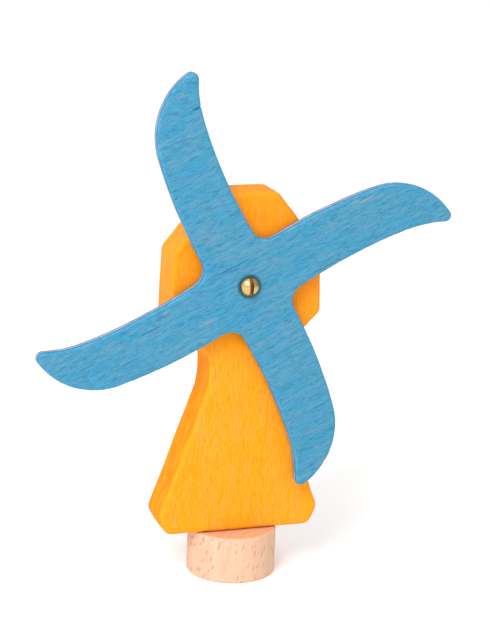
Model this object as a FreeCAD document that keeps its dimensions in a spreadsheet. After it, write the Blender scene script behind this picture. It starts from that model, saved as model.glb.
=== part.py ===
"""Plug-in wooden windmill figure: a sawn tower on a round plug, with a turning cross of hooked sails.

Frame: origin at the centre of the plug's underside, +Z up, the sails face -Y, +X to the right as
seen from the front. Lengths are in millimetres and angles in degrees.
"""
import FreeCAD
import Part
import os
import Sketcher
from FreeCAD import Placement, Rotation, Vector
from math import acos, atan2, cos, degrees, hypot, radians, sin, sqrt, tan

# origin planes of a body, by role: a front outline's own axes are X and Z
GROUND_PLANE = "XY_Plane"
FRONT_PLANE = "XZ_Plane"
SIDE_PLANE = "YZ_Plane"
RIGHT = Vector(1, 0, 0)
DEPTH = Vector(0, 1, 0)
UP = Vector(0, 0, 1)

# how a sketch counts the points of a curve, its axes and its origin
START, END, CENTRE = 1, 2, 3
HORIZONTAL_AXIS, VERTICAL_AXIS = -1, -2
ORIGIN = -1

TOUCH = 1e-6
ANGLE_TOLERANCE = 1e-4
BLADE_COUNT = 4
FLUTE_COUNT = 12
THREAD_ROOT_SHARE = 0.7

DRIVING_SIZES = {
    # plug, a turned cylinder that stands in the round hole of a ring or stand
    "plug_diameter": 15.0,
    "plug_height": 8.0,
    "plug_edge_break": 0.35,
    # tower, sawn from one board; the widths are half widths from its centre line
    "tower_height": 58.2,
    "tower_thickness": 7.6,
    "foot_half": 12.6,
    "skirt_half": 14.15,
    "skirt_rise": 3.2,
    "waist_half": 6.1,
    "waist_radius": 15.0,
    "neck_length": 1.3,
    "neck_corner_radius": 2.5,
    "undercut_angle": 45.0,
    "cap_half_low": 13.15,
    "cap_half_high": 12.85,
    "cap_side_height": 10.8,
    "roof_rise": 9.9,
    "roof_half": 5.0,
    "tower_corner_round": 1.8,
    "tower_edge_round": 0.9,
    # pivot, measured down from the top of the tower, and to the left of its middle
    "pivot_depth": 15.0,
    "pivot_offset": 0.4,
    # sails, sawn from one sheet of plywood; the blade's own X axis runs from the hub to its tip
    "sail_radius": 36.6,
    "sail_thickness": 2.0,
    "sail_rest_angle": 24.7,
    "sail_edge_round": 0.4,
    "back_curve_radius": 85.0,
    "back_curve_height": 5.98,
    "back_curve_station": 15.2,
    "hook_radius": 12.2,
    "tip_radius": 1.1,
    "tip_drop": 4.65,
    "belly_curve_radius": 90.0,
    "belly_curve_height": 3.4,
    "belly_curve_station": 19.5,
    "belly_hook_radius": 20.0,
    "hub_corner_radius": 2.8,
    # brass round-head wood screw
    "screw_shank_diameter": 1.8,
    "screw_core_diameter": 1.3,
    "screw_thread_pitch": 0.8,
    "screw_head_diameter": 3.4,
    "screw_head_height": 1.3,
    "screw_head_rim": 0.15,
    "screw_slot_width": 0.6,
    "screw_slot_depth": 0.7,
    "screw_slot_angle": -2.0,
    "screw_grip": 5.2,
    "screw_point": 1.4,
    "thread_root_sink": 0.08,
    # washer between the tower and the sails
    "washer_diameter": 5.0,
    "washer_thickness": 0.4,
    # fluted dowel between the plug and the tower
    "dowel_diameter": 4.0,
    "dowel_chamfer": 0.4,
    "dowel_in_plug": 5.0,
    "dowel_in_tower": 6.0,
    "dowel_flute_radius": 0.3,
    # clearances
    "sail_bore_clearance": 0.08,
    "washer_bore_clearance": 0.1,
    "sail_end_play": 0.08,
    "pilot_clearance": 0.02,
    "pilot_end_gap": 0.4,
    "dowel_end_gap": 0.5,
}

DERIVED_SIZES = {
    "pivot_level": "=plug_height + tower_height - pivot_depth",
    "tower_front": "=tower_thickness / 2",
    "sail_back": "=tower_front + washer_thickness + sail_end_play",
    "sail_front": "=sail_back + sail_thickness",
    "head_seat": "=sail_front + sail_end_play",
    "shank_length": "=head_seat - tower_front",
    "screw_tip_level": "=shank_length + screw_grip",
    "thread_start": "=shank_length + screw_thread_pitch",
    "thread_length": "=screw_grip - screw_point - screw_thread_pitch",
    "pilot_depth": "=screw_grip + pilot_end_gap",
    "dowel_length": "=dowel_in_plug + dowel_in_tower",
}


def make_sheet(doc):
    """Write each driving size as a plain number and each derived size as a formula, with aliases."""
    sheet = doc.addObject("Spreadsheet::Sheet", "Sizes")
    for row, (alias, value) in enumerate({**DRIVING_SIZES, **DERIVED_SIZES}.items(), start=1):
        sheet.set(f"A{row}", alias)
        sheet.set(f"B{row}", str(value))
        sheet.setAlias(f"B{row}", alias)
    doc.recompute()
    return sheet


def origin_feature(body, role):
    """Return the body's own origin plane or axis with this role."""
    return next(item for item in body.Origin.OriginFeatures if item.Role == role)


def bearing(centre, point):
    """Return the direction from one point to another, in degrees from the sketch's X axis."""
    return degrees(atan2(point[1] - centre[1], point[0] - centre[0]))


def circle_centre(first, first_reach, second, second_reach):
    """Return the left-hand point at these two distances from two points."""
    span = hypot(second[0] - first[0], second[1] - first[1])
    along = (first_reach**2 - second_reach**2 + span**2) / (2 * span)
    aside = sqrt(first_reach**2 - along**2)
    toward = ((second[0] - first[0]) / span, (second[1] - first[1]) / span)
    return (first[0] + along * toward[0] - aside * toward[1],
            first[1] + along * toward[1] + aside * toward[0])


class Piece:
    """One sub-part: a body with sketches and features tied to the sheet."""

    def __init__(self, doc, sheet, label):
        self.doc = doc
        self.sheet = sheet
        self.body = doc.addObject("PartDesign::Body", "Body_" + label)
        self.body.Label = label

    def value(self, alias):
        """Read a size from the sheet, for a sketch's starting guess."""
        return float(self.sheet.get(alias))

    def place(self, rotation=Rotation(), **levels):
        """Set the body's rotation, and tie its x, y or z to a formula."""
        self.body.Placement = Placement(Vector(0, 0, 0), rotation)
        for axis, formula in levels.items():
            self.body.setExpression("Placement.Base." + axis, formula)

    def sketch(self, name, plane_role, lift=None, turn=None):
        """Start a sketch on one of the body's origin planes, raised along its normal."""
        item = self.body.newObject("Sketcher::SketchObject", f"{self.body.Label}_{name}")
        item.AttachmentSupport = [(origin_feature(self.body, plane_role), "")]
        item.MapMode = "FlatFace"
        if lift:
            item.setExpression("AttachmentOffset.Base.z", lift)
        if turn:
            item.AttachmentOffset = Placement(Vector(0, 0, 0), Rotation(Vector(0, 0, 1), 1.0))
            item.setExpression("AttachmentOffset.Rotation.Angle", turn)
        return Outline(item)

    def feature(self, kind, name, **settings):
        """Add a feature and make it the body's tip; texts that start with = are formulas."""
        item = self.body.newObject("PartDesign::" + kind, f"{self.body.Label}_{name}")
        for prop, setting in settings.items():
            if isinstance(setting, str) and setting.startswith("="):
                item.setExpression(prop, setting[1:])
            else:
                setattr(item, prop, setting)
        self.body.Tip = item
        self.doc.recompute()
        return item

    def round_off(self, name, base, edges, radius):
        """Fillet the named edges or faces of a feature."""
        return self.feature("Fillet", name, Base=(base, edges), Radius=radius)

    def cut(self, name, outline, depth, **settings):
        """Pocket a sketch and make sure that it took material away."""
        pocket = self.feature("Pocket", name, Profile=outline.item, Length=depth, **settings)
        if not pocket.Shape.Volume < pocket.BaseFeature.Shape.Volume - TOUCH:
            raise RuntimeError(f"{pocket.Name} cuts nothing")
        return pocket


class Outline:
    """A sketch, with short ways to draw in it and to tie its dimensions to the sheet."""

    def __init__(self, item):
        self.item = item

    def line(self, start, end):
        """Draw a straight line."""
        return self.item.addGeometry(Part.LineSegment(Vector(*start, 0), Vector(*end, 0)))

    def arc(self, centre, radius, start_angle, end_angle):
        """Draw an arc, anticlockwise between two angles in degrees."""
        circle = Part.Circle(Vector(*centre, 0), Vector(0, 0, 1), radius)
        return self.item.addGeometry(Part.ArcOfCircle(circle, radians(start_angle), radians(end_angle)))

    def rule(self, kind, *where):
        """Add a rule that has no dimension, such as Tangent."""
        self.item.addConstraint(Sketcher.Constraint(kind, *where))

    def dimension(self, name, kind, where, guess, formula):
        """Add a named dimension that follows the sheet; guess only starts the solver."""
        index = self.item.addConstraint(Sketcher.Constraint(kind, *where, guess))
        self.item.renameConstraint(index, name)
        self.item.setExpression("Constraints." + name, formula)

    def circle(self, name, centre, guess, diameter):
        """Draw a full circle with a tied diameter."""
        index = self.item.addGeometry(Part.Circle(Vector(*centre, 0), Vector(0, 0, 1), guess / 2))
        self.dimension(name, "Diameter", (index,), guess, diameter)
        return index

    def centred_circle(self, name, guess, diameter):
        """Draw a full circle round the sketch's origin."""
        index = self.circle(name, (0, 0), guess, diameter)
        self.rule("Coincident", index, CENTRE, ORIGIN, START)
        return index


def faces_towards(shape, direction):
    """Name the flat faces whose outward normal points this way."""
    names = []
    for number, face in enumerate(shape.Faces, start=1):
        is_flat = isinstance(face.Surface, Part.Plane)
        if is_flat and face.normalAt(0, 0).getAngle(direction) < ANGLE_TOLERANCE:
            names.append(f"Face{number}")
    return names


def corners_between_flats(shape, direction):
    """Name the straight edges along a direction where two flat faces meet."""
    names = []
    for number, edge in enumerate(shape.Edges, start=1):
        if not isinstance(edge.Curve, Part.Line):
            continue
        along = abs(edge.Curve.Direction.dot(direction)) > 1 - ANGLE_TOLERANCE
        sides = shape.ancestorsOfType(edge, Part.Face)
        if along and all(isinstance(face.Surface, Part.Plane) for face in sides):
            names.append(f"Edge{number}")
    return names


def corners_near(shape, direction, radius):
    """Name the edges along a direction that lie nearer than this radius to the body's Y axis."""
    names = []
    for number, edge in enumerate(shape.Edges, start=1):
        if not isinstance(edge.Curve, Part.Line):
            continue
        middle = edge.CenterOfMass
        along = abs(edge.Curve.Direction.dot(direction)) > 1 - ANGLE_TOLERANCE
        if along and hypot(middle.x, middle.z) < radius:
            names.append(f"Edge{number}")
    return names


def draw_tower_half(tower):
    """Draw the right half of the tower's front outline, from the foot up to the roof."""
    outline = tower.sketch("outline", FRONT_PLANE)
    height = tower.value("tower_height")
    foot = (tower.value("foot_half"), 0)
    skirt = (tower.value("skirt_half"), tower.value("skirt_rise"))
    eave = height - tower.value("roof_rise")
    cap_low = eave - tower.value("cap_side_height")
    waist = tower.value("waist_half")
    waist_radius = tower.value("waist_radius")
    corner_radius = tower.value("neck_corner_radius")
    undercut = tower.value("undercut_angle")
    turn = radians(undercut)
    corner_drop = (tower.value("cap_half_low") - waist) * tan(turn) + corner_radius * tan(turn / 2)
    neck_top = cap_low - corner_drop
    neck_low = neck_top - tower.value("neck_length")
    run = (skirt[0] - waist - waist_radius, neck_low - skirt[1])
    lean = degrees(atan2(run[1], -run[0]) - acos(waist_radius / hypot(*run)))
    waist_centre = (waist + waist_radius, neck_low)
    flare_end = (waist_centre[0] - waist_radius * cos(radians(lean)),
                 neck_low - waist_radius * sin(radians(lean)))
    corner_centre = (waist + corner_radius, neck_top)
    under_end = (corner_centre[0] - corner_radius * sin(turn), neck_top + corner_radius * cos(turn))

    base = outline.line((0, 0), foot)
    chamfer = outline.line(foot, skirt)
    flare = outline.line(skirt, flare_end)
    waist_arc = outline.arc(waist_centre, waist_radius, 180, 180 + lean)
    neck = outline.line((waist, neck_low), (waist, neck_top))
    corner = outline.arc(corner_centre, corner_radius, 90 + undercut, 180)
    under = outline.line(under_end, (tower.value("cap_half_low"), cap_low))
    side = outline.line((tower.value("cap_half_low"), cap_low), (tower.value("cap_half_high"), eave))
    roof = outline.line((tower.value("cap_half_high"), eave), (tower.value("roof_half"), height))
    top = outline.line((tower.value("roof_half"), height), (0, height))
    middle = outline.line((0, height), (0, 0))

    straight_runs = [(base, chamfer), (chamfer, flare), (under, side), (side, roof), (roof, top),
                     (top, middle), (middle, base)]
    for first, second in straight_runs:
        outline.rule("Coincident", first, END, second, START)
    outline.rule("Tangent", flare, END, waist_arc, END)
    outline.rule("Tangent", waist_arc, START, neck, START)
    outline.rule("Tangent", neck, END, corner, END)
    outline.rule("Tangent", corner, START, under, START)
    outline.rule("Coincident", base, START, ORIGIN, START)
    outline.rule("Horizontal", base)
    outline.rule("Vertical", neck)
    outline.rule("Horizontal", top)
    outline.rule("Vertical", middle)

    def half_width(name, item, end):
        guess = tower.value(name)
        outline.dimension(name, "DistanceX", (ORIGIN, START, item, end), guess, "Sizes." + name)

    half_width("foot_half", base, END)
    half_width("skirt_half", chamfer, END)
    half_width("waist_half", neck, START)
    half_width("cap_half_low", side, START)
    half_width("cap_half_high", side, END)
    half_width("roof_half", roof, END)
    outline.dimension("skirt_rise", "DistanceY", (ORIGIN, START, chamfer, END), skirt[1],
                      "Sizes.skirt_rise")
    outline.dimension("waist_radius", "Radius", (waist_arc,), waist_radius, "Sizes.waist_radius")
    outline.dimension("neck_length", "DistanceY", (neck, START, neck, END), neck_top - neck_low,
                      "Sizes.neck_length")
    outline.dimension("corner_radius", "Radius", (corner,), corner_radius,
                      "Sizes.neck_corner_radius")
    outline.dimension("undercut", "Angle", (under,), turn, "Sizes.undercut_angle * 1 deg")
    outline.dimension("cap_side", "DistanceY", (side, START, side, END), eave - cap_low,
                      "Sizes.cap_side_height")
    outline.dimension("roof_rise", "DistanceY", (roof, START, roof, END), height - eave,
                      "Sizes.roof_rise")
    outline.dimension("height", "DistanceY", (middle, END, middle, START), height,
                      "Sizes.tower_height")
    return outline


def make_tower(doc, sheet):
    """Sawn board with sanded edges, a pilot hole for the pivot screw and a hole for the dowel."""
    tower = Piece(doc, sheet, "mill_tower")
    tower.place(z="Sizes.plug_height")
    half = tower.feature("Pad", "board", Profile=draw_tower_half(tower).item,
                         SideType="Symmetric", Length="=Sizes.tower_thickness")
    board = tower.feature("Mirrored", "mirror", Originals=[half],
                          MirrorPlane=(origin_feature(tower.body, SIDE_PLANE), [""]))
    cornered = tower.round_off("corners", board, corners_between_flats(board.Shape, DEPTH),
                               "=Sizes.tower_corner_round")
    broad_faces = faces_towards(cornered.Shape, DEPTH) + faces_towards(cornered.Shape, -DEPTH)
    tower.round_off("edges", cornered, broad_faces, "=Sizes.tower_edge_round")

    pilot = tower.sketch("pilot_circle", FRONT_PLANE, lift="Sizes.tower_front")
    bore = sheet.get("screw_shank_diameter") + 2 * sheet.get("pilot_clearance")
    level = sheet.get("tower_height") - sheet.get("pivot_depth")
    offset = sheet.get("pivot_offset")
    hole = pilot.circle("bore", (-offset, level), bore,
                        "Sizes.screw_shank_diameter + 2 * Sizes.pilot_clearance")
    pilot.dimension("offset", "DistanceX", (hole, CENTRE, ORIGIN, START), offset, "Sizes.pivot_offset")
    pilot.dimension("level", "DistanceY", (ORIGIN, START, hole, CENTRE), level,
                    "Sizes.tower_height - Sizes.pivot_depth")
    tower.cut("pilot_hole", pilot, "=Sizes.pilot_depth")

    socket = tower.sketch("dowel_circle", GROUND_PLANE)
    socket.centred_circle("bore", sheet.get("dowel_diameter"), "Sizes.dowel_diameter")
    tower.cut("dowel_hole", socket, "=Sizes.dowel_in_tower + Sizes.dowel_end_gap", Reversed=True)
    return tower.body


def draw_blade(sails):
    """Draw one hooked blade, from the hub's centre out to its tip, with its axis along X."""
    outline = sails.sketch("blade_outline", FRONT_PLANE)
    back_radius = sails.value("back_curve_radius")
    back_station = sails.value("back_curve_station")
    back_height = sails.value("back_curve_height")
    belly_radius = sails.value("belly_curve_radius")
    belly_station = sails.value("belly_curve_station")
    belly_height = sails.value("belly_curve_height")
    hook_radius = sails.value("hook_radius")
    belly_hook = sails.value("belly_hook_radius")
    tip_radius = sails.value("tip_radius")
    tip_drop = sails.value("tip_drop")
    tip_reach = sails.value("sail_radius") - tip_radius
    tip = (sqrt(tip_reach**2 - tip_drop**2), -tip_drop)
    back_centre = (back_station, back_height - back_radius)
    belly_centre = (belly_station, -belly_height - belly_radius)
    hook = circle_centre(back_centre, back_radius - hook_radius, tip, hook_radius - tip_radius)
    belly_hook_centre = circle_centre(belly_centre, belly_radius - belly_hook,
                                      tip, belly_hook + tip_radius)
    hook_start = bearing(back_centre, hook)
    hook_end = bearing(hook, tip)
    belly_end = bearing(belly_centre, belly_hook_centre)
    tip_start = bearing(tip, belly_hook_centre)
    root_start = bearing(back_centre, (belly_height, back_height))
    root_end = bearing(belly_centre, (back_height, -belly_height))

    low_edge = outline.line((0, 0), (back_height, -belly_height))
    belly = outline.arc(belly_centre, belly_radius, belly_end, root_end)
    belly_tail = outline.arc(belly_hook_centre, belly_hook, tip_start + 180, belly_end)
    tip_arc = outline.arc(tip, tip_radius, tip_start, hook_end + 360)
    hook_arc = outline.arc(hook, hook_radius, hook_end, hook_start)
    back = outline.arc(back_centre, back_radius, hook_start, root_start)
    high_edge = outline.line((belly_height, back_height), (0, 0))

    outline.rule("Coincident", low_edge, START, ORIGIN, START)
    outline.rule("Coincident", low_edge, END, belly, END)
    outline.rule("Tangent", belly, START, belly_tail, END)
    outline.rule("Tangent", belly_tail, START, tip_arc, START)
    outline.rule("Tangent", tip_arc, END, hook_arc, START)
    outline.rule("Tangent", hook_arc, END, back, START)
    outline.rule("Coincident", back, END, high_edge, START)
    outline.rule("Coincident", high_edge, END, ORIGIN, START)
    outline.rule("Perpendicular", low_edge, high_edge)
    outline.rule("Equal", low_edge, high_edge)

    for name, item in [("back_curve_radius", back), ("hook_radius", hook_arc), ("tip_radius", tip_arc),
                       ("belly_curve_radius", belly), ("belly_hook_radius", belly_tail)]:
        outline.dimension(name, "Radius", (item,), sails.value(name), "Sizes." + name)
    outline.dimension("back_station", "DistanceX", (ORIGIN, START, back, CENTRE), back_station,
                      "Sizes.back_curve_station")
    outline.dimension("back_depth", "DistanceY", (back, CENTRE, ORIGIN, START), -back_centre[1],
                      "Sizes.back_curve_radius - Sizes.back_curve_height")
    outline.dimension("belly_station", "DistanceX", (ORIGIN, START, belly, CENTRE), belly_station,
                      "Sizes.belly_curve_station")
    outline.dimension("belly_depth", "DistanceY", (belly, CENTRE, ORIGIN, START), -belly_centre[1],
                      "Sizes.belly_curve_radius + Sizes.belly_curve_height")
    outline.dimension("tip_drop", "DistanceY", (tip_arc, CENTRE, ORIGIN, START), tip_drop,
                      "Sizes.tip_drop")
    outline.dimension("tip_reach", "Distance", (ORIGIN, START, tip_arc, CENTRE), tip_reach,
                      "Sizes.sail_radius - Sizes.tip_radius")
    return outline


def make_sails(doc, sheet):
    """Cross of four hooked blades in one plywood sheet, with a bore that turns on the screw."""
    sails = Piece(doc, sheet, "sail_cross")
    sails.place(Rotation(-DEPTH, 1.0), x="-Sizes.pivot_offset", y="-Sizes.sail_back",
                z="Sizes.pivot_level")
    sails.body.setExpression("Placement.Rotation.Angle", "Sizes.sail_rest_angle")
    blade = sails.feature("Pad", "blade", Profile=draw_blade(sails).item,
                          Length="=Sizes.sail_thickness")
    cross = sails.feature("PolarPattern", "cross", Originals=[blade], Angle=360,
                          Axis=(origin_feature(sails.body, "Y_Axis"), [""]),
                          Occurrences=BLADE_COUNT)
    hub_reach = 2 * sheet.get("back_curve_height")
    filled = sails.round_off("hub_corners", cross, corners_near(cross.Shape, DEPTH, hub_reach),
                             "=Sizes.hub_corner_radius")
    broad_faces = faces_towards(filled.Shape, DEPTH) + faces_towards(filled.Shape, -DEPTH)
    sails.round_off("edges", filled, broad_faces, "=Sizes.sail_edge_round")
    bore = sails.sketch("bore_circle", FRONT_PLANE)
    bore.centred_circle("bore", sheet.get("screw_shank_diameter") + 2 * sheet.get("sail_bore_clearance"),
                        "Sizes.screw_shank_diameter + 2 * Sizes.sail_bore_clearance")
    sails.cut("bore", bore, 0, Type="ThroughAll", SideType="Symmetric")
    return sails.body


def make_screw(doc, sheet):
    """Brass wood screw: a domed slotted head, a smooth shank, and a thread that ends in a point."""
    screw = Piece(doc, sheet, "pivot_screw")
    screw.place(Rotation(RIGHT, 90), x="-Sizes.pivot_offset", y="-Sizes.head_seat",
                z="Sizes.pivot_level")
    head = sheet.get("screw_head_diameter") / 2
    rim = sheet.get("screw_head_rim")
    crown = sheet.get("screw_head_height")
    shank = sheet.get("screw_shank_diameter") / 2
    core = sheet.get("screw_core_diameter") / 2
    neck = -sheet.get("shank_length")
    tip = -sheet.get("screw_tip_level")
    point = tip + sheet.get("screw_point")
    shoulder = neck - (shank - core)
    dome = ((crown - rim) ** 2 + head**2) / (2 * (crown - rim))
    dome_centre = (0, crown - dome)

    profile = screw.sketch("profile", FRONT_PLANE)
    seat = profile.line((shank, 0), (head, 0))
    edge = profile.line((head, 0), (head, rim))
    dome_arc = profile.arc(dome_centre, dome, bearing(dome_centre, (head, rim)), 90)
    axis = profile.line((0, crown), (0, tip))
    cone = profile.line((0, tip), (core, point))
    core_side = profile.line((core, point), (core, shoulder))
    taper = profile.line((core, shoulder), (shank, neck))
    shank_side = profile.line((shank, neck), (shank, 0))
    chain = [seat, edge, dome_arc, axis, cone, core_side, taper, shank_side]
    for first, second in zip(chain, chain[1:] + chain[:1]):
        profile.rule("Coincident", first, END, second, START)
    profile.rule("PointOnObject", axis, START, VERTICAL_AXIS)
    profile.rule("PointOnObject", axis, END, VERTICAL_AXIS)
    profile.rule("PointOnObject", dome_arc, CENTRE, VERTICAL_AXIS)
    profile.rule("PointOnObject", seat, START, HORIZONTAL_AXIS)
    profile.rule("Horizontal", seat)
    profile.rule("Vertical", edge)
    profile.rule("Vertical", core_side)
    profile.rule("Vertical", shank_side)
    profile.dimension("head", "DistanceX", (ORIGIN, START, edge, START), head,
                      "Sizes.screw_head_diameter / 2")
    profile.dimension("rim", "DistanceY", (edge, START, edge, END), rim, "Sizes.screw_head_rim")
    profile.dimension("crown", "DistanceY", (ORIGIN, START, axis, START), crown,
                      "Sizes.screw_head_height")
    profile.dimension("shank", "DistanceX", (ORIGIN, START, shank_side, END), shank,
                      "Sizes.screw_shank_diameter / 2")
    profile.dimension("core", "DistanceX", (ORIGIN, START, core_side, START), core,
                      "Sizes.screw_core_diameter / 2")
    profile.dimension("shank_length", "DistanceY", (shank_side, START, ORIGIN, START), -neck,
                      "Sizes.shank_length")
    profile.dimension("taper", "DistanceY", (core_side, END, shank_side, START), shank - core,
                      "(Sizes.screw_shank_diameter - Sizes.screw_core_diameter) / 2")
    profile.dimension("tip", "DistanceY", (axis, END, ORIGIN, START), -tip, "Sizes.screw_tip_level")
    profile.dimension("point", "DistanceY", (cone, START, cone, END), point - tip,
                      "Sizes.screw_point")
    screw.feature("Revolution", "blank", Profile=profile.item, Angle=360,
                  ReferenceAxis=(profile.item, ["V_Axis"]))

    ridge = screw.sketch("thread_ridge", FRONT_PLANE)
    root = core - sheet.get("thread_root_sink")
    half = sheet.get("screw_thread_pitch") * THREAD_ROOT_SHARE / 2
    start = -sheet.get("thread_start")
    low = ridge.line((root, start - half), (shank, start))
    high = ridge.line((shank, start), (root, start + half))
    inner = ridge.line((root, start + half), (root, start - half))
    for first, second in [(low, high), (high, inner), (inner, low)]:
        ridge.rule("Coincident", first, END, second, START)
    ridge.rule("Vertical", inner)
    ridge.rule("Equal", low, high)
    ridge.dimension("crest", "DistanceX", (ORIGIN, START, low, END), shank,
                    "Sizes.screw_shank_diameter / 2")
    ridge.dimension("root", "DistanceX", (ORIGIN, START, inner, START), root,
                    "Sizes.screw_core_diameter / 2 - Sizes.thread_root_sink")
    ridge.dimension("width", "DistanceY", (inner, END, inner, START), 2 * half,
                    f"Sizes.screw_thread_pitch * {THREAD_ROOT_SHARE}")
    ridge.dimension("start", "DistanceY", (low, END, ORIGIN, START), -start, "Sizes.thread_start")
    screw.feature("AdditiveHelix", "thread", Profile=ridge.item, Mode="pitch-height-angle",
                  ReferenceAxis=(ridge.item, ["V_Axis"]), Reversed=True,
                  Pitch="=Sizes.screw_thread_pitch", Height="=Sizes.thread_length")

    slot = screw.sketch("slot_outline", GROUND_PLANE, lift="Sizes.screw_head_height",
                        turn="Sizes.screw_slot_angle")
    width = sheet.get("screw_slot_width") / 2
    reach = sheet.get("screw_head_diameter")
    corners = [(-width, -reach), (width, -reach), (width, reach), (-width, reach)]
    sides = [slot.line(start, end) for start, end in zip(corners, corners[1:] + corners[:1])]
    for first, second in zip(sides, sides[1:] + sides[:1]):
        slot.rule("Coincident", first, END, second, START)
    for side in sides[::2]:
        slot.rule("Horizontal", side)
    for side in sides[1::2]:
        slot.rule("Vertical", side)
    slot.rule("Symmetric", sides[0], START, sides[2], START, ORIGIN, START)
    slot.dimension("width", "DistanceX", (sides[0], START, sides[0], END), 2 * width,
                   "Sizes.screw_slot_width")
    slot.dimension("length", "DistanceY", (sides[1], START, sides[1], END), 2 * reach,
                   "2 * Sizes.screw_head_diameter")
    screw.cut("slot", slot, "=Sizes.screw_slot_depth")
    return screw.body


def make_washer(doc, sheet):
    """Flat brass washer on the screw, between the tower and the sails."""
    washer = Piece(doc, sheet, "spacer_washer")
    washer.place(x="-Sizes.pivot_offset", y="-Sizes.tower_front", z="Sizes.pivot_level")
    ring = washer.sketch("ring", FRONT_PLANE)
    ring.centred_circle("outside", sheet.get("washer_diameter"), "Sizes.washer_diameter")
    ring.centred_circle("bore", sheet.get("screw_shank_diameter") + 2 * sheet.get("washer_bore_clearance"),
                        "Sizes.screw_shank_diameter + 2 * Sizes.washer_bore_clearance")
    washer.feature("Pad", "disc", Profile=ring.item, Length="=Sizes.washer_thickness")
    return washer.body


def make_plug(doc, sheet):
    """Turned beech plug with broken edges and a blind hole for the dowel."""
    plug = Piece(doc, sheet, "base_plug")
    disc = plug.sketch("disc", GROUND_PLANE)
    disc.centred_circle("outside", sheet.get("plug_diameter"), "Sizes.plug_diameter")
    blank = plug.feature("Pad", "blank", Profile=disc.item, Length="=Sizes.plug_height")
    ends = faces_towards(blank.Shape, UP) + faces_towards(blank.Shape, -UP)
    plug.round_off("edge_breaks", blank, ends, "=Sizes.plug_edge_break")
    socket = plug.sketch("dowel_circle", GROUND_PLANE, lift="Sizes.plug_height")
    socket.centred_circle("bore", sheet.get("dowel_diameter"), "Sizes.dowel_diameter")
    plug.cut("dowel_hole", socket, "=Sizes.dowel_in_plug + Sizes.dowel_end_gap")
    return plug.body


def make_dowel(doc, sheet):
    """Fluted dowel, glued half in the plug and half in the tower."""
    dowel = Piece(doc, sheet, "joint_dowel")
    dowel.place(z="Sizes.plug_height - Sizes.dowel_in_plug")
    disc = dowel.sketch("disc", GROUND_PLANE)
    disc.centred_circle("outside", sheet.get("dowel_diameter"), "Sizes.dowel_diameter")
    rod = dowel.feature("Pad", "rod", Profile=disc.item, Length="=Sizes.dowel_length")
    ends = faces_towards(rod.Shape, UP) + faces_towards(rod.Shape, -UP)
    dowel.feature("Chamfer", "end_chamfers", Base=(rod, ends), Size="=Sizes.dowel_chamfer")
    groove = dowel.sketch("flute_circle", GROUND_PLANE)
    rim = sheet.get("dowel_diameter") / 2
    round_cut = groove.circle("groove", (0, rim), 2 * sheet.get("dowel_flute_radius"),
                              "2 * Sizes.dowel_flute_radius")
    groove.rule("PointOnObject", round_cut, CENTRE, VERTICAL_AXIS)
    groove.dimension("rim", "DistanceY", (ORIGIN, START, round_cut, CENTRE), rim,
                     "Sizes.dowel_diameter / 2")
    flute = dowel.cut("flute", groove, 0, Type="ThroughAll", Reversed=True)
    dowel.feature("PolarPattern", "flutes", Originals=[flute], Angle=360, Occurrences=FLUTE_COUNT,
                  Axis=(origin_feature(dowel.body, "Z_Axis"), [""]))
    return dowel.body


def check_document(doc, bodies):
    """Stop if any object failed to compute or any sub-part is not one sound solid."""
    for item in doc.Objects:
        if "Invalid" in item.State or "Error" in item.State:
            raise RuntimeError(f"{item.Name} did not compute: {item.State}")
    for body in bodies:
        shape = body.Shape
        if shape.isNull() or not shape.isValid() or len(shape.Solids) != 1:
            raise RuntimeError(f"{body.Label} is not one valid solid")


def main():
    """Build the windmill and write each sub-part to its own file."""
    doc = FreeCAD.newDocument("windmill")
    sheet = make_sheet(doc)
    makers = [make_plug, make_dowel, make_tower, make_washer, make_sails, make_screw]
    bodies = [maker(doc, sheet) for maker in makers]
    doc.recompute()
    check_document(doc, bodies)
    os.makedirs("parts", exist_ok=True)
    for body in bodies:
        body.Shape.exportStep(f"parts/{body.Label}.step")


main()
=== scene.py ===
"""Looks for a small plug-in wooden windmill: stained tower, blue plywood sails, brass screw, beech plug.

Every object is in metres in the part's own frame: +Z up, the sails face -Y, +X to the right.
"""
from math import cos, pi, radians, sin

import bmesh
import bpy
from bpy.props import FloatProperty, FloatVectorProperty, PointerProperty
from mathutils import Matrix, Vector, noise


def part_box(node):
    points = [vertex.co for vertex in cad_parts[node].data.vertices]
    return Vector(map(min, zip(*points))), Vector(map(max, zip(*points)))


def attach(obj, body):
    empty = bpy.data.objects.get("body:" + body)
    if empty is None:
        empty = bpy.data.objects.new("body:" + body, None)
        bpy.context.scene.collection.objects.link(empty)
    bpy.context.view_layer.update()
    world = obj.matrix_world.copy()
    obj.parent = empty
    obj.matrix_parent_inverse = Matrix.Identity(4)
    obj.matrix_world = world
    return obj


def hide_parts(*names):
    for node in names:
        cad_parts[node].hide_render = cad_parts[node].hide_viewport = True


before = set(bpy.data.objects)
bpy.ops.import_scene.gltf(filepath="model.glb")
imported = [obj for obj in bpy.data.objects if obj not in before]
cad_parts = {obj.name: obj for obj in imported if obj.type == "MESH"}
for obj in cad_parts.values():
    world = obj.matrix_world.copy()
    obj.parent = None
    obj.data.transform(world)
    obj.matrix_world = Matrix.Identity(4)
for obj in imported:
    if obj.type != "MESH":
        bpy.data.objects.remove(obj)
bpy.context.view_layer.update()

bl_info = {
    "name": "Wooden Windmill Figure",
    "version": (1, 0, 0),
    "blender": (4, 5, 0),
    "location": "3D View > Sidebar > Windmill",
    "description": "Builds the finishes, the sanded wooden pieces and the studio of a windmill figure",
    "category": "Object",
}

MM = 0.001
SENSOR_WIDTH = 36.0

TOWER_BODY = "tower"
SAILS_BODY = "sails"

MM_PER_METRE = 1000.0
TO_MM = (MM_PER_METRE,) * 3

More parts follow.
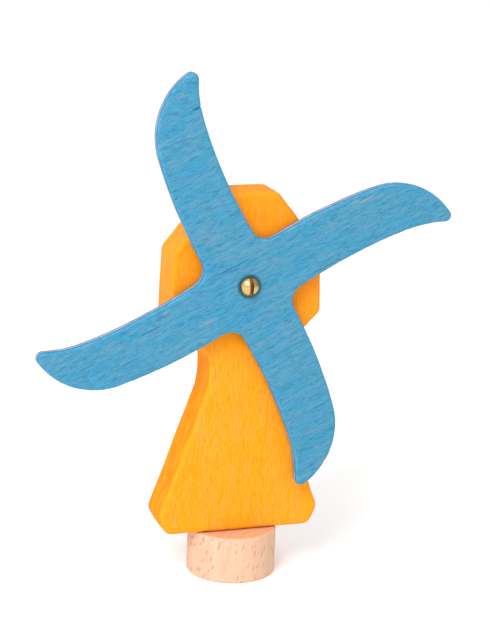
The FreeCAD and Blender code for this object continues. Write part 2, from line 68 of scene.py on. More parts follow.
KEY_DIRECTION = (-0.49, -0.58, 0.65)
KEY_DISTANCE = 0.5
KEY_SIZE = 0.2
FLOOR_RADIUS = 4.0
CAMERA_CLIP = (0.01, 20.0)

# Where the tower's cap begins and ends, as levels in metres; the cap's front is darker, partly a deeper
# stain and partly painted shade of the sails, and its sides are paler as painted light from above.
CAP_LEVELS = (0.034, 0.052)
BEECH_LEAN = radians(-20.0)

# Linear colours of the brass: clean, tarnished, in specks, painted shade in the slot and painted contact
# shade round the rim.
BRASS_CLEAN = (0.70, 0.46, 0.19)
BRASS_TARNISH = (0.50, 0.29, 0.10)
BRASS_SPECK = (0.30, 0.16, 0.06)
BRASS_SLOT_SHADE = (0.20, 0.08, 0.02)
BRASS_RIM_SHADE = (0.16, 0.08, 0.03)

# Smoothing of the even mesh, and the band of sideways slope that counts as the rim.
SOFTEN_SHARE = 0.5
SOFTEN_ROUNDS = 2
RIM_START = 0.15
RIM_SPAN = 0.8
DENT_DENSITY = 3.1
DENT_OFFSET = Vector((7.0, 3.0, 5.0))
DENT_THRESHOLD = 0.15

CRACK_OPENING = 0.8

# Marks on the sails' front face: place along and across the grain from the pivot, and reach, in mm.
WORN_MARKS = (
    (21.6, 4.7, 1.6, 0.22),
    (23.6, 4.2, 2.2, 0.30),
    (25.9, 3.7, 1.2, 0.16),
    (-14.4, 2.6, 0.9, 0.22),
    (9.0, 5.6, 5.0, 0.13),
    (-9.0, -2.2, 2.6, 0.12),
)
DARK_MARKS = (
    (3.75, 30.57, 0.85, 0.11),
    (-5.3, 18.9, 0.45, 0.12),
    (-1.2, 4.25, 5.2, 0.07),
    (-17.5, 1.0, 3.0, 0.06),
    (13.0, -3.0, 3.5, 0.06),
)

# The crack at the edge of the upper sail, in mm: start and end along the grain, place across it, half width
# and depth.
EDGE_CRACK = (2.6, 5.6, 30.57, 0.3, 0.5)


# ---------------------------------------------------------------- sizes and colours


def colour_property(name, description, default):
    """A linear colour that the user can change."""
    return FloatVectorProperty(name=name, description=description, default=default, size=3,
                               min=0.0, max=1.0, subtype="COLOR")


def length_property(name, description, default):
    """A length that the user can change, given in millimetres."""
    return FloatProperty(name=name, description=description, default=default * MM, min=0.0,
                         unit="LENGTH", precision=5)


def angle_property(name, description, default):
    """An angle that the user can change, given in degrees."""
    return FloatProperty(name=name, description=description, default=radians(default), subtype="ANGLE")


class WindmillStain(bpy.types.PropertyGroup):
    """Colours of the stained wood and of the bare beech."""

    tower: colour_property("Tower", "Yellow-orange stain on the broad faces of the tower",
                           (0.93, 0.315, 0.006))
    tower_light: colour_property("Tower streaks", "Paler streaks where the wood took less stain",
                                 (0.92, 0.45, 0.10))
    tower_rim: colour_property("Tower rim", "Yellower line along the sanded rim", (0.93, 0.38, 0.015))
    tower_deep: colour_property("Tower deep", "Deeper stain on the sawn sides and in the pores",
                                (0.90, 0.20, 0.003))
    sails: colour_property("Sails", "Blue stain on the plywood", (0.024, 0.26, 0.45))
    sails_pale: colour_property("Sails pale", "Grey-green veil where the stain was wiped thin",
                                (0.085, 0.27, 0.38))
    sails_worn: colour_property("Sails worn", "Grey-tan wood that shows through the blue",
                                (0.30, 0.29, 0.26))
    sails_deep: colour_property("Sails pores", "Stain that gathered in the pores",
                                (0.012, 0.085, 0.15))
    # Painted highlight: brighter blue along the sails' rounded rim.
    sails_rim_highlight: colour_property("Sails rim", "Brighter blue on the sanded rim", (0.06, 0.36, 0.62))
    ply_core: colour_property("Ply core", "Middle ply on the sawn sides", (0.42, 0.38, 0.46))
    beech: colour_property("Beech", "Bare sanded beech", (0.69, 0.44, 0.30))
    beech_pale: colour_property("Beech pale", "Paler lines between the pores", (0.80, 0.58, 0.45))
    beech_fleck: colour_property("Beech flecks", "Short ray flecks in the beech", (0.50, 0.21, 0.12))
    beech_ring: colour_property("Beech rings", "Growth rings on the end grain", (0.70, 0.32, 0.12))


class WindmillShape(bpy.types.PropertyGroup):
    """Small shape details of the wooden pieces."""

    grain_angle: angle_property("Sail grain", "Tilt of the plywood's grain from level", 25.0)
    tower_grid: length_property("Tower mesh", "Spacing of the tower's mesh", 0.25)
    sails_grid: length_property("Sails mesh", "Spacing of the sails' mesh", 0.18)
    tower_wander_depth: length_property("Tower unevenness", "How deep sanding wandered", 0.16)
    sails_wander_depth: length_property("Sails unevenness", "How deep sanding wandered", 0.08)
    wander: length_property("Wander", "Distance between high spots", 4.0)
    dents: length_property("Dents", "Depth of the deepest dents along the rims", 0.25)
    relief: length_property("Grain relief", "Depth of the raised grain", 0.02)


class WindmillStudio(bpy.types.PropertyGroup):
    """Camera and light."""

    azimuth: angle_property("Camera azimuth", "How far the camera stands to the left of the front", 18.48)
    elevation: angle_property("Camera elevation", "How far the camera looks down", 15.12)
    roll: angle_property("Camera roll", "Clockwise tilt of the camera", 2.02)
    distance: length_property("Camera distance", "From the camera to the pivot, along its view", 340.68)
    aside: length_property("Camera aside", "How far the pivot lies right of the view's middle", 0.75)
    above: length_property("Camera above", "How far the pivot lies above the view's middle", 4.28)
    lens: FloatProperty(name="Lens", description="Focal length", default=120.9, min=10.0,
                        subtype="DISTANCE_CAMERA")
    floor_colour: colour_property("Floor", "Plain pale floor", (0.85, 0.85, 0.85))
    sky_low: FloatProperty(name="Sky low", description="Strength of the light from the lower right",
                           default=0.47, min=0.0)
    sky_high: FloatProperty(name="Sky high", description="Strength of the light from the upper left",
                            default=1.2, min=0.0)
    glow: FloatProperty(name="Floor glow", description="Light that the floor gives off by itself",
                        default=0.2, min=0.0)
    key: FloatProperty(name="Key", description="Power of the large soft lamp, in watts", default=1.5,
                       min=0.0)


class WindmillSettings(bpy.types.PropertyGroup):
    """All that a user would change."""

    stain: PointerProperty(name="Stain", description="Colours of the wood", type=WindmillStain)
    shape: PointerProperty(name="Shape", description="Small shape details", type=WindmillShape)
    studio: PointerProperty(name="Studio", description="Camera and light", type=WindmillStudio)


# ---------------------------------------------------------------- shader building


class Nodes:
    """Short ways to add and link the nodes of one material or group."""

    def __init__(self, tree):
        self.tree = tree

    def add(self, kind, inputs=None, **settings):
        """Add a node; inputs are numbers, colours or sockets, keyed by name or index."""
        node = self.tree.nodes.new("ShaderNode" + kind)
        for name, setting in settings.items():
            setattr(node, name, setting)
        for key, given in (inputs or {}).items():
            self.feed(node.inputs[key], given)
        return node

    def feed(self, socket, given):
        """Link a socket into an input, or set the input's own value."""
        if isinstance(given, bpy.types.NodeSocket):
            self.tree.links.new(given, socket)
        elif socket.type == "RGBA" and len(given) == 3:
            socket.default_value = (*given, 1.0)
        else:
            socket.default_value = given

    def math(self, operation, first, second=0.0):
        """One arithmetic step."""
        return self.add("Math", {0: first, 1: second}, operation=operation).outputs[0]

    def mix(self, share, first, second, blend="MIX"):
        """Mix two colours."""
        node = self.add("Mix", {0: share, 6: first, 7: second}, data_type="RGBA", blend_type=blend)
        return node.outputs[2]

    def between(self, given, low, high, out_low=0.0, out_high=1.0):
        """Map a value smoothly from one range to another, clamped."""
        inputs = {"Value": given, "From Min": low, "From Max": high, "To Min": out_low, "To Max": out_high}
        return self.add("MapRange", inputs, interpolation_type="SMOOTHSTEP").outputs["Result"]

    def scale(self, vector, factors):
        """Multiply a vector part by part."""
        return self.add("VectorMath", {0: vector, 1: factors}, operation="MULTIPLY").outputs[0]

    def noise(self, vector, detail=2.0, roughness=0.5):
        """Noise value, at a scale of one feature per unit."""
        inputs = {"Vector": vector, "Scale": 1.0, "Detail": detail, "Roughness": roughness,
                  "Distortion": 0.0}
        return self.add("TexNoise", inputs).outputs["Fac"]

    def turn(self, vector, angle):
        """Turn a vector about the Y axis."""
        inputs = {"Vector": vector, "Angle": angle, "Axis": (0.0, 1.0, 0.0)}
        return self.add("VectorRotate", inputs, rotation_type="AXIS_ANGLE").outputs[0]


def make_group(name, inputs, outputs, fill):
    """Build a shader node group once; fill links its inputs to its outputs."""
    if name in bpy.data.node_groups:
        return bpy.data.node_groups[name]
    tree = bpy.data.node_groups.new(name, "ShaderNodeTree")
    for label, kind, default in inputs:
        socket = tree.interface.new_socket(name=label, in_out="INPUT", socket_type="NodeSocket" + kind)
        if default is not None:
            socket.default_value = default
    for label, kind in outputs:
        tree.interface.new_socket(name=label, in_out="OUTPUT", socket_type="NodeSocket" + kind)
    nodes = Nodes(tree)
    source = tree.nodes.new("NodeGroupInput").outputs
    results = fill(nodes, source)
    target = tree.nodes.new("NodeGroupOutput").inputs
    for label, given in results.items():
        nodes.feed(target[label], given)
    return tree


def grain_frame_group():
    """Object coordinates in millimetres, turned so that the grain runs along X, with a slow wander."""
    def fill(nodes, source):
        sized = nodes.scale(source["Vector"], TO_MM)
        turned = nodes.turn(sized, source["Angle"])
        slow = nodes.scale(turned, (0.05, 0.12, 0.12))
        lift = nodes.math("SUBTRACT", nodes.noise(slow, 1.0), 0.5)
        lift = nodes.math("MULTIPLY", lift, source["Wander"])
        shift = nodes.add("CombineXYZ", {"X": 0.0, "Y": lift, "Z": lift}).outputs[0]
        return {"Vector": nodes.add("VectorMath", {0: turned, 1: shift},
                                    operation="ADD").outputs[0]}

    return make_group("Grain Frame",
                      [("Vector", "Vector", None), ("Angle", "Float", 0.0), ("Wander", "Float", 1.0)],
                      [("Vector", "Vector")], fill)


def streak_group():
    """Long fine streaks along X: soft tone, light streaks, short dark pores and broad clouds."""
    def fill(nodes, source):
        length = nodes.math("DIVIDE", 1.0, source["Length"])
        width = nodes.math("DIVIDE", 1.0, source["Width"])
        stretch = nodes.add("CombineXYZ", {"X": length, "Y": width, "Z": width}).outputs[0]
        fine = nodes.scale(source["Vector"], stretch)
        tone = nodes.noise(fine, 3.0, 0.6)
        wide = nodes.noise(nodes.scale(fine, (0.3, 0.12, 0.12)), 3.0, 0.6)
        streaks = nodes.between(nodes.math("ADD", tone, nodes.math("MULTIPLY", wide, 0.6)), 0.74, 0.98)
        moved = nodes.add("VectorMath", {0: nodes.scale(fine, (1.3, 1.2, 1.2)), 1: (31.0, 17.0, 5.0)},
                          operation="ADD").outputs[0]
        pore_tone = nodes.noise(moved, 3.0, 0.55)
        pores = nodes.between(nodes.math("SUBTRACT", pore_tone, nodes.math("MULTIPLY", wide, 0.12)),
                              0.49, 0.58)
        return {"Tone": tone, "Streaks": streaks, "Pores": pores, "Clouds": wide}

    return make_group("Wood Streaks",
                      [("Vector", "Vector", None), ("Length", "Float", 5.0), ("Width", "Float", 0.25)],
                      [("Tone", "Float"), ("Streaks", "Float"), ("Pores", "Float"), ("Clouds", "Float")],
                      fill)


def board_side_group():
    """Where a flat board shows its sawn sides, and its rounded rim in between, from its normal; a broken
    band along the rim is used for wear and for a painted highlight.
    """
    def fill(nodes, source):
        split = nodes.add("SeparateXYZ", {0: source["Normal"]}).outputs
        flat = nodes.math("ABSOLUTE", split["Y"])
        side = nodes.between(flat, 0.75, 0.25)
        rim = nodes.math("MULTIPLY", nodes.between(flat, 0.995, 0.85), nodes.between(flat, 0.15, 0.5))
        broken = nodes.noise(nodes.scale(source["Vector"], (900.0, 900.0, 900.0)), 3.0, 0.65)
        # Broken band along the rim: wear on the tower, painted highlight on the sails.
        worn = nodes.math("MULTIPLY", rim, nodes.between(broken, 0.35, 0.65))
        return {"Side": side, "Rim": rim, "Wear_And_Sheen": worn}

    return make_group("Board Sides", [("Vector", "Vector", None), ("Normal", "Vector", None)],
                      [("Side", "Float"), ("Rim", "Float"), ("Wear_And_Sheen", "Float")], fill)


def mark_group():
    """One ragged mark along the grain: a worn patch, a scratch or a crack."""
    def fill(nodes, source):
        offset = nodes.add("VectorMath", {0: source["Vector"], 1: source["Place"]}, operation="SUBTRACT")
        shrunk = nodes.add("VectorMath", {0: offset.outputs[0], 1: source["Reach"]}, operation="DIVIDE")
        flat = nodes.scale(shrunk.outputs[0], (1.0, 0.0, 1.0))
        away = nodes.add("VectorMath", {0: flat}, operation="LENGTH").outputs["Value"]
        ragged = nodes.noise(nodes.scale(source["Vector"], (1.5, 1.0, 9.0)), 3.0, 0.6)
        away = nodes.math("ADD", away, nodes.math("MULTIPLY", ragged, source["Raggedness"]))
        return {"Mask": nodes.between(away, 1.25, 0.75)}

    return make_group("Grain Mark",
                      [("Vector", "Vector", None), ("Place", "Vector", None),
                       ("Reach", "Vector", (1.0, 1.0, 1.0)), ("Raggedness", "Float", 0.5)],
                      [("Mask", "Float")], fill)


# ---------------------------------------------------------------- finishes


def new_finish(name):
    """An empty material with its shader; returns the material, a node builder and the shader."""
    finish = bpy.data.materials.new(name)
    finish.use_nodes = True
    finish.node_tree.nodes.clear()
    nodes = Nodes(finish.node_tree)
    shader = nodes.add("BsdfPrincipled")
    nodes.add("OutputMaterial", {"Surface": shader.outputs[0]})
    return finish, nodes, shader


def bumped(nodes, shader, height, depth, strength=1.0):
    """Raise the surface by height, at most by depth."""
    bump = nodes.add("Bump", {"Strength": strength, "Distance": depth, "Height": height})
    nodes.feed(shader.inputs["Normal"], bump.outputs[0])


def wood_base(nodes, angle, wander, length, width):
    """Place the shared grain groups; returns coordinates, grain vector and streak outputs."""
    where = nodes.add("TexCoord").outputs
    grain = nodes.add("Group", node_tree=grain_frame_group())
    nodes.feed(grain.inputs["Vector"], where["Object"])
    grain.inputs["Angle"].default_value = angle
    grain.inputs["Wander"].default_value = wander
    streaks = nodes.add("Group", node_tree=streak_group())
    nodes.feed(streaks.inputs["Vector"], grain.outputs[0])
    streaks.inputs["Length"].default_value = length
    streaks.inputs["Width"].default_value = width
    return where, grain.outputs[0], streaks.outputs


def board_sides(nodes, where):
    """Place the shared group that finds a board's sawn sides and rim."""
    sides = nodes.add("Group", node_tree=board_side_group())
    nodes.feed(sides.inputs["Vector"], where["Object"])
    nodes.feed(sides.inputs["Normal"], where["Normal"])
    return sides.outputs


def stained_limewood(stain, shape):
    """Yellow-orange stain over fine upright grain."""
    finish, nodes, shader = new_finish("stained_limewood")
    where, grain, streaks = wood_base(nodes, pi / 2, 0.8, 1.8, 0.095)
    sides = board_sides(nodes, where)
    face = nodes.mix(nodes.math("MULTIPLY", streaks["Streaks"], 0.6), stain.tower, stain.tower_light)
    face = nodes.mix(nodes.math("MULTIPLY", streaks["Pores"], 0.5), face, stain.tower_deep)
    clouds = nodes.between(streaks["Clouds"], 0.4, 0.7, 0.0, 0.3)
    face = nodes.mix(clouds, face, stain.tower_deep)
    level = nodes.add("SeparateXYZ", {0: where["Object"]}).outputs["Z"]
    cap = nodes.between(level, *CAP_LEVELS)
    # Cap front darker: partly a deeper stain, partly painted shade of the sails.
    face = nodes.mix(nodes.math("MULTIPLY", cap, 0.3), face, stain.tower_deep)
    broad = nodes.noise(nodes.scale(grain, (0.05, 0.9, 0.9)), 2.0, 0.6)
    bands = nodes.mix(nodes.between(broad, 0.4, 0.62, 0.1, 0.9), stain.tower_deep, stain.tower)
    # Painted light: the upper sides are paler and the lower flared sides darker, as light falls from above.
    bands = nodes.mix(nodes.math("MULTIPLY", cap, 0.35), bands, stain.tower_light)
    colour = nodes.mix(nodes.math("MULTIPLY", sides["Side"], 0.75), face, bands)
    colour = nodes.mix(nodes.math("MULTIPLY", sides["Wear_And_Sheen"], 0.2), colour, stain.tower_rim)
    nodes.feed(shader.inputs["Base Color"], colour)
    nodes.feed(shader.inputs["Roughness"], nodes.between(streaks["Tone"], 0.3, 0.7, 0.62, 0.8))
    shader.inputs["Specular IOR Level"].default_value = 0.06
    height = nodes.math("SUBTRACT", streaks["Tone"], nodes.math("MULTIPLY", streaks["Pores"], 0.6))
    bumped(nodes, shader, height, shape.relief, 0.7)
    return finish


def add_marks(nodes, place, marks, raggedness):
    """Join a list of marks into one mask."""
    joined = 0.0
    for along, across, half_length, half_width in marks:
        mark = nodes.add("Group", node_tree=mark_group())
        nodes.feed(mark.inputs["Vector"], place)
        mark.inputs["Place"].default_value = (along, 0.0, across)
        mark.inputs["Reach"].default_value = (half_length, 1.0, half_width)
        mark.inputs["Raggedness"].default_value = raggedness
        joined = nodes.math("MAXIMUM", joined, mark.outputs[0])
    return joined


def stained_plywood(stain, shape):
    """Blue stain over a thin ply whose grain runs one way across all four sails."""
    finish, nodes, shader = new_finish("stained_plywood")
    where, grain, streaks = wood_base(nodes, shape.grain_angle, 0.8, 1.7, 0.065)
    sides = board_sides(nodes, where)
    veil = nodes.between(nodes.noise(nodes.scale(grain, (0.1, 0.28, 0.28)), 3.0, 0.6), 0.35, 0.65)
    mottle = nodes.between(nodes.noise(nodes.scale(grain, (2.4, 8.0, 8.0)), 2.0), 0.35, 0.65)
    share = nodes.math("ADD", nodes.math("MULTIPLY", veil, 0.22), nodes.math("MULTIPLY", mottle, 0.35))
    face = nodes.mix(share, stain.sails, stain.sails_pale)
    face = nodes.mix(nodes.math("MULTIPLY", streaks["Streaks"], 0.3), face, stain.sails_worn)
    face = nodes.mix(nodes.math("MULTIPLY", streaks["Pores"], 0.6), face, stain.sails_deep)
    place = nodes.add("VectorMath", {0: where["Object"], 1: tuple(-pivot_point())}, operation="ADD")
    place = nodes.turn(nodes.scale(place.outputs[0], TO_MM), shape.grain_angle)
    facing = nodes.add("SeparateXYZ", {0: where["Normal"]}).outputs["Y"]
    front = nodes.between(facing, -0.2, -0.6)
    worn = nodes.math("MULTIPLY", add_marks(nodes, place, WORN_MARKS, 0.9), front)
    cracks = nodes.math("MULTIPLY", add_marks(nodes, place, DARK_MARKS, 0.5), front)
    face = nodes.mix(nodes.math("MULTIPLY", worn, 0.75), face, stain.sails_worn)
    face = nodes.mix(nodes.math("MULTIPLY", cracks, 0.85), face, stain.sails_deep)
    # Painted contact shade: a dark ring on the sails just outside the screw head.
    from_pivot = nodes.add("VectorMath", {0: where["Object"], 1: tuple(pivot_point())},
                           operation="DISTANCE")
    painted_pivot_shade = nodes.between(from_pivot.outputs["Value"], 2.3 * MM, 1.75 * MM, 0.0, 0.75)
    face = nodes.mix(painted_pivot_shade, face, stain.sails_deep)
    split = nodes.add("SeparateXYZ", {0: where["Object"]}).outputs
    through = nodes.math("MULTIPLY", nodes.math("SUBTRACT", split["Y"], sail_middle()), MM_PER_METRE)
    core = nodes.between(nodes.math("ABSOLUTE", through), 0.42, 0.3)
    patchy = nodes.between(nodes.noise(nodes.scale(grain, (0.35, 0.35, 0.35)), 2.0), 0.4, 0.6, 0.45, 0.9)
    core = nodes.math("MULTIPLY", nodes.math("MULTIPLY", core, sides["Side"]), patchy)
    sawn = nodes.mix(nodes.math("MULTIPLY", mottle, 0.6), stain.sails, stain.sails_deep)
    sawn = nodes.mix(core, sawn, stain.ply_core)
    colour = nodes.mix(sides["Side"], face, sawn)
    # Painted highlight: the broken rim band is turned brighter blue.
    colour = nodes.mix(nodes.math("MULTIPLY", sides["Wear_And_Sheen"], 0.8), colour, stain.sails_rim_highlight)
    nodes.feed(shader.inputs["Base Color"], colour)
    nodes.feed(shader.inputs["Roughness"], nodes.between(streaks["Tone"], 0.3, 0.7, 0.6, 0.8))
    shader.inputs["Specular IOR Level"].default_value = 0.15
    height = nodes.math("SUBTRACT", streaks["Tone"], streaks["Pores"])
    height = nodes.math("SUBTRACT", height, nodes.math("MULTIPLY", cracks, 3.0))
    bumped(nodes, shader, height, shape.relief, 0.8)
    return finish


def bare_beech(stain, shape):
    """Sanded beech: short slanted ray flecks on the side, curved rings on the ends."""
    finish, nodes, shader = new_finish("bare_beech")
    where, _, streaks = wood_base(nodes, pi / 2, 0.6, 6.0, 0.2)
    sized = nodes.scale(where["Object"], TO_MM)
    leaning = nodes.turn(sized, BEECH_LEAN)
    cells = nodes.add("TexVoronoi", {"Vector": nodes.scale(leaning, (1.9, 0.8, 0.42)), "Scale": 1.0,
                                     "Randomness": 1.0})
    ragged = nodes.noise(nodes.scale(leaning, (4.0, 4.0, 1.2)), 2.0)
    reach = nodes.math("ADD", cells.outputs["Distance"], nodes.math("MULTIPLY", ragged, 0.2))
    flecks = nodes.between(reach, 0.42, 0.28)
    split = nodes.add("SeparateXYZ", {0: where["Normal"]}).outputs
    end = nodes.between(nodes.math("ABSOLUTE", split["Z"]), 0.6, 0.95)
    off_centre = nodes.add("VectorMath", {0: sized, 1: (-9.0, 14.0, 0.0)}, operation="ADD").outputs[0]
    flat = nodes.scale(off_centre, (1.0, 1.0, 0.0))
    radius = nodes.add("VectorMath", {0: flat}, operation="LENGTH").outputs["Value"]
    wavy = nodes.math("ADD", radius, nodes.noise(nodes.scale(sized, (0.25, 0.25, 0.0)), 2.0))
    ring = nodes.math("FRACT", nodes.math("MULTIPLY", wavy, 0.55))
    rings = nodes.between(ring, 0.55, 0.98)
    side = nodes.mix(nodes.math("MULTIPLY", streaks["Streaks"], 0.35), stain.beech, stain.beech_pale)
    side = nodes.mix(nodes.math("MULTIPLY", streaks["Pores"], 0.25), side, stain.beech_fleck)
    side = nodes.mix(nodes.math("MULTIPLY", flecks, 0.6), side, stain.beech_fleck)
    top = nodes.mix(nodes.math("MULTIPLY", rings, 0.55), stain.beech, stain.beech_ring)
    top = nodes.mix(0.35, top, stain.beech_ring)
    nodes.feed(shader.inputs["Base Color"], nodes.mix(end, side, top))
    nodes.feed(shader.inputs["Roughness"], nodes.between(streaks["Tone"], 0.3, 0.7, 0.6, 0.75))
    shader.inputs["Specular IOR Level"].default_value = 0.2
    height = nodes.math("SUBTRACT", streaks["Tone"], nodes.math("MULTIPLY", flecks, 0.5))
    bumped(nodes, shader, height, shape.relief, 0.5)
    return finish


def turned_brass():
    """Polished brass with faint turning marks, a little tarnish, painted shade in the slot and painted
    contact shade round the rim.
    """
    finish, nodes, shader = new_finish("turned_brass")
    where = nodes.add("TexCoord").outputs
    pivot = pivot_point()
    centred = nodes.add("VectorMath", {0: where["Object"], 1: tuple(-pivot)}, operation="ADD").outputs[0]
    sized = nodes.scale(centred, TO_MM)
    flat = nodes.scale(sized, (1.0, 0.0, 1.0))
    radius = nodes.add("VectorMath", {0: flat}, operation="LENGTH").outputs["Value"]
    turns = nodes.math("SINE", nodes.math("MULTIPLY", radius, 40.0))
    cloud = nodes.noise(nodes.scale(sized, (1.1, 1.1, 1.1)), 3.0, 0.6)
    specks = nodes.between(nodes.noise(nodes.scale(sized, (4.0, 4.0, 4.0)), 2.0), 0.62, 0.75)
    colour = nodes.mix(nodes.between(cloud, 0.4, 0.7, 0.0, 0.7), BRASS_CLEAN, BRASS_TARNISH)
    colour = nodes.mix(nodes.math("MULTIPLY", specks, 0.4), colour, BRASS_SPECK)
    across = nodes.math("ABSOLUTE", nodes.add("SeparateXYZ", {0: sized}).outputs["X"])
    slot = nodes.between(across, 0.36, 0.30)
    # Painted shade: the slot's walls and floor are darkened to a deep brown.
    colour = nodes.mix(nodes.math("MULTIPLY", slot, 0.85), colour, BRASS_SLOT_SHADE)
    # Painted contact shade: a dark ring round the edge of the head, where it sits on the sails.
    colour = nodes.mix(nodes.between(radius, 1.5, 1.72, 0.0, 0.6), colour, BRASS_RIM_SHADE)
    nodes.feed(shader.inputs["Base Color"], colour)
    shader.inputs["Metallic"].default_value = 1.0
    rough = nodes.between(cloud, 0.3, 0.7, 0.14, 0.26)
    rough = nodes.math("ADD", rough, nodes.math("MULTIPLY", slot, 0.3))
    nodes.feed(shader.inputs["Roughness"], rough)
    bumped(nodes, shader, nodes.math("ADD", turns, nodes.math("MULTIPLY", specks, -2.0)), 0.002 * MM)
    return finish


def along_and_across(point, pivot, angle):
    """A point's place along and across the sails' grain, from the pivot, in mm."""
    from_pivot = (point - pivot) / MM
    along = from_pivot.x * cos(angle) + from_pivot.z * sin(angle)
    across = from_pivot.z * cos(angle) - from_pivot.x * sin(angle)
    return along, across


def sanded_piece(name, node, body, finish, grid, depth, wander, dents):
    """Remake a wooden part in an even mesh whose faces wander and whose rims are dented by hand sanding.

    The wander and the dents only press inwards. Remaking the mesh rounds tight inner corners, so a few
    points at the bottoms of hidden holes end up about a tenth of a millimetre inside the hole.
    """
    rough = bpy.data.objects.new(name + "_rough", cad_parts[node].data.copy())
    bpy.context.scene.collection.objects.link(rough)
    even = rough.modifiers.new("even_mesh", "REMESH")
    even.mode = "VOXEL"
    even.voxel_size = grid
    soft = rough.modifiers.new("soften", "SMOOTH")
    soft.factor = SOFTEN_SHARE
    soft.iterations = SOFTEN_ROUNDS
    shown = rough.evaluated_get(bpy.context.evaluated_depsgraph_get())
    mesh = bpy.data.meshes.new_from_object(shown)
    bpy.data.objects.remove(rough)
    mesh.name = name
    normals = [Vector(normal.vector) for normal in mesh.vertex_normals]
    for vertex, normal in zip(mesh.vertices, normals):
        place = vertex.co / wander
        sunk = depth * (1.0 - noise.fractal(place, 0.8, 2.0, 2)) / 2
        slope = min(max((abs(normal.y) - RIM_START) / RIM_SPAN, 0.0), 1.0)
        rim = 1.0 - abs(2.0 * slope - 1.0)
        dent = max(noise.noise(place * DENT_DENSITY + DENT_OFFSET) - DENT_THRESHOLD, 0.0)
        vertex.co -= normal * (max(sunk, 0.0) + dents * rim * dent)
    mesh.polygons.foreach_set("use_smooth", [True] * len(mesh.polygons))
    mesh.materials.clear()
    mesh.materials.append(finish)
    piece = bpy.data.objects.new(name, mesh)
    bpy.context.scene.collection.objects.link(piece)
    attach(piece, body)
    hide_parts(node)
    return piece


def open_crack(piece, angle, crack):
    """Press a short V-shaped crack into the front of the sails, along the grain."""
    start, end, across_at, half_width, depth = crack
    pivot = pivot_point()
    for vertex in piece.data.vertices:
        along, across = along_and_across(vertex.co, pivot, angle)
        away = abs(across - across_at)
        if start < along < end and away < half_width and vertex.co.y < pivot.y + MM:
            opening = min((along - start) / CRACK_OPENING, 1.0)
            vertex.co.y += depth * MM * opening * (1.0 - away / half_width)


def finish_node(node, finish):
    """Give a carried-over part its finish in every slot."""
    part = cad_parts[node]
    if not part.material_slots:
        part.data.materials.append(finish)
    for holder in part.material_slots:
        holder.link = "OBJECT"
        holder.material = finish


# ---------------------------------------------------------------- studio


def pivot_point():
    """Middle of the sails on their front face, in metres."""
    low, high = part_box("sail_cross")
    return Vector(((low[0] + high[0]) / 2, low[1], (low[2] + high[2]) / 2))


def sail_middle():
    """Depth of the middle of the sails' thickness, in metres."""
    low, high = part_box("sail_cross")
    return (low[1] + high[1]) / 2


def camera_axes(azimuth, elevation, roll):
    """The camera's right, up and backward directions."""
    back = Vector((-sin(azimuth) * cos(elevation), -cos(azimuth) * cos(elevation), sin(elevation)))
    level = Vector((cos(azimuth), -sin(azimuth), 0.0))
    upright = back.cross(level)
    right = cos(roll) * level + sin(roll) * upright
    up = -sin(roll) * level + cos(roll) * upright
    return right, up, back


def add_camera(studio):
    """Stand the camera to the left of the front, a little above the sails."""
    right, up, back = camera_axes(studio.azimuth, studio.elevation, studio.roll)
    shift = right * studio.aside + up * studio.above - back * studio.distance
    place = pivot_point() - shift
    lens = bpy.data.cameras.new("Camera")
    lens.sensor_width = SENSOR_WIDTH
    lens.lens = studio.lens
    lens.clip_start, lens.clip_end = CAMERA_CLIP
    camera = bpy.data.objects.new("Camera", lens)
    turn = Matrix((right, up, back)).transposed()
    camera.matrix_world = Matrix.Translation(place) @ turn.to_4x4()
    bpy.context.scene.collection.objects.link(camera)
    bpy.context.scene.camera = camera


def add_lamp(name, direction, distance, size, power):
    """A square soft lamp that looks at the pivot from a direction."""
    lamp = bpy.data.lights.new(name, "AREA")
    lamp.shape = "SQUARE"
    lamp.size = size
    lamp.energy = power
    holder = bpy.data.objects.new(name, lamp)
    towards = Vector(direction).normalized()
    turn = towards.to_track_quat("Z", "Y").to_matrix().to_4x4()
    holder.matrix_world = Matrix.Translation(pivot_point() + towards * distance) @ turn
    bpy.context.scene.collection.objects.link(holder)


def add_floor(studio):
    """A plain round floor, wide enough to fill the view."""
    mesh = bpy.data.meshes.new("studio_floor")
    shape = bmesh.new()
    bmesh.ops.create_circle(shape, cap_ends=True, segments=96, radius=FLOOR_RADIUS)
    shape.to_mesh(mesh)
    shape.free()
    floor = bpy.data.objects.new("studio_floor", mesh)
    bpy.context.scene.collection.objects.link(floor)
    finish, nodes, shader = new_finish("studio_paper")
    where = nodes.add("TexCoord").outputs["Object"]
    cloud = nodes.noise(nodes.scale(where, (3.0, 3.0, 3.0)), 2.0)
    nodes.feed(shader.inputs["Base Color"], nodes.mix(nodes.between(cloud, 0.3, 0.7, 0.0, 0.02),
                                                      tuple(studio.floor_colour), (0.88, 0.88, 0.88)))
    shader.inputs["Roughness"].default_value = 0.9
    shader.inputs["Specular IOR Level"].default_value = 0.0
    shader.inputs["Emission Color"].default_value = (1.0, 1.0, 1.0, 1.0)
    shader.inputs["Emission Strength"].default_value = studio.glow
    mesh.materials.append(finish)


def add_sky(studio):
    """Soft white light from all sides, brighter from the upper left and dimmer from the lower right."""
    world = bpy.data.worlds.new("Studio")
    world.use_nodes = True
    world.node_tree.nodes.clear()
    nodes = Nodes(world.node_tree)
    looking = nodes.add("TexCoord").outputs["Generated"]
    facing = nodes.add("VectorMath", {0: looking, 1: KEY_DIRECTION}, operation="DOT_PRODUCT")
    strength = nodes.between(facing.outputs["Value"], -0.3, 0.9, studio.sky_low, studio.sky_high)
    backdrop = nodes.add("LightPath").outputs["Is Camera Ray"]
    strength = nodes.math("MAXIMUM", strength, backdrop)
    light = nodes.add("Background", {"Color": (1.0, 1.0, 1.0), "Strength": strength})
    nodes.add("OutputWorld", {"Surface": light.outputs[0]})
    bpy.context.scene.world = world


# ---------------------------------------------------------------- operators


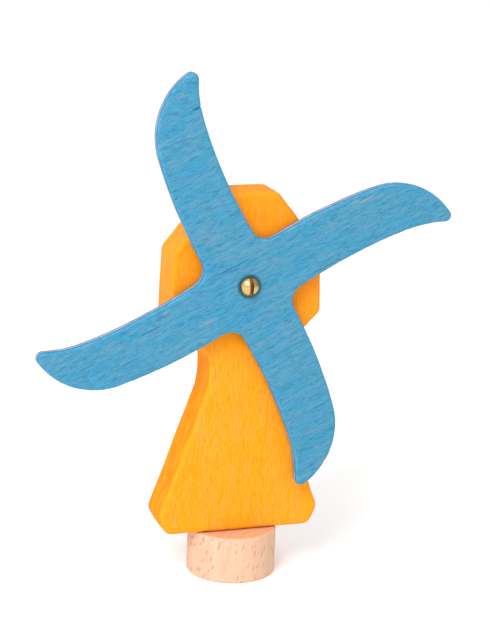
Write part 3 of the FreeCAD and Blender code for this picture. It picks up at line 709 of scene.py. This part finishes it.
class WINDMILL_OT_tower(bpy.types.Operator):
    """Build the sanded tower and stain it yellow-orange"""

    bl_idname = "windmill.tower"
    bl_label = "Tower"

    def execute(self, context):
        settings = context.scene.windmill
        shape = settings.shape
        finish = stained_limewood(settings.stain, shape)
        sanded_piece("sanded_tower", "mill_tower", TOWER_BODY, finish,
                     shape.tower_grid, shape.tower_wander_depth, shape.wander, shape.dents)
        return {"FINISHED"}


class WINDMILL_OT_sails(bpy.types.Operator):
    """Build the sanded sails, crack their edge and stain them blue"""

    bl_idname = "windmill.sails"
    bl_label = "Sails"

    def execute(self, context):
        settings = context.scene.windmill
        shape = settings.shape
        finish = stained_plywood(settings.stain, shape)
        sails = sanded_piece("sanded_sails", "sail_cross", SAILS_BODY, finish,
                             shape.sails_grid, shape.sails_wander_depth, shape.wander, shape.dents)
        open_crack(sails, shape.grain_angle, EDGE_CRACK)
        return {"FINISHED"}


class WINDMILL_OT_brass(bpy.types.Operator):
    """Polish the pivot screw and its washer"""

    bl_idname = "windmill.brass"
    bl_label = "Screw and Washer"

    def execute(self, context):
        finish = turned_brass()
        finish_node("pivot_screw", finish)
        finish_node("spacer_washer", finish)
        return {"FINISHED"}


class WINDMILL_OT_plug(bpy.types.Operator):
    """Sand the beech plug and the dowel inside it"""

    bl_idname = "windmill.plug"
    bl_label = "Plug and Dowel"

    def execute(self, context):
        settings = context.scene.windmill
        finish = bare_beech(settings.stain, settings.shape)
        finish_node("base_plug", finish)
        finish_node("joint_dowel", finish)
        return {"FINISHED"}


class WINDMILL_OT_studio(bpy.types.Operator):
    """Set up the floor, the lights and the camera"""

    bl_idname = "windmill.studio"
    bl_label = "Studio"

    def execute(self, context):
        studio = context.scene.windmill.studio
        add_floor(studio)
        add_sky(studio)
        add_lamp("key_lamp", KEY_DIRECTION, KEY_DISTANCE, KEY_SIZE, studio.key)
        add_camera(studio)
        context.scene.view_settings.view_transform = "Standard"
        return {"FINISHED"}


OPERATORS = (WINDMILL_OT_tower, WINDMILL_OT_sails, WINDMILL_OT_brass, WINDMILL_OT_plug,
             WINDMILL_OT_studio)


class WINDMILL_PT_panel(bpy.types.Panel):
    """Lists the steps that build the figure"""

    bl_idname = "WINDMILL_PT_panel"
    bl_label = "Wooden Windmill"
    bl_space_type = "VIEW_3D"
    bl_region_type = "UI"
    bl_category = "Windmill"

    def draw(self, context):
        for step in OPERATORS:
            self.layout.operator(step.bl_idname)


CLASSES = (WindmillStain, WindmillShape, WindmillStudio, WindmillSettings, *OPERATORS, WINDMILL_PT_panel)


def register():
    """Add the settings, the steps and the panel."""
    for cls in CLASSES:
        bpy.utils.register_class(cls)
    bpy.types.Scene.windmill = PointerProperty(name="Windmill", description="Windmill settings",
                                               type=WindmillSettings)


def unregister():
    """Take them away again."""
    del bpy.types.Scene.windmill
    for cls in reversed(CLASSES):
        bpy.utils.unregister_class(cls)


def main():
    """Build everything in order."""
    register()
    for step in OPERATORS:
        group, name = step.bl_idname.split(".")
        getattr(getattr(bpy.ops, group), name)()


if __name__ == "__main__":
    main()
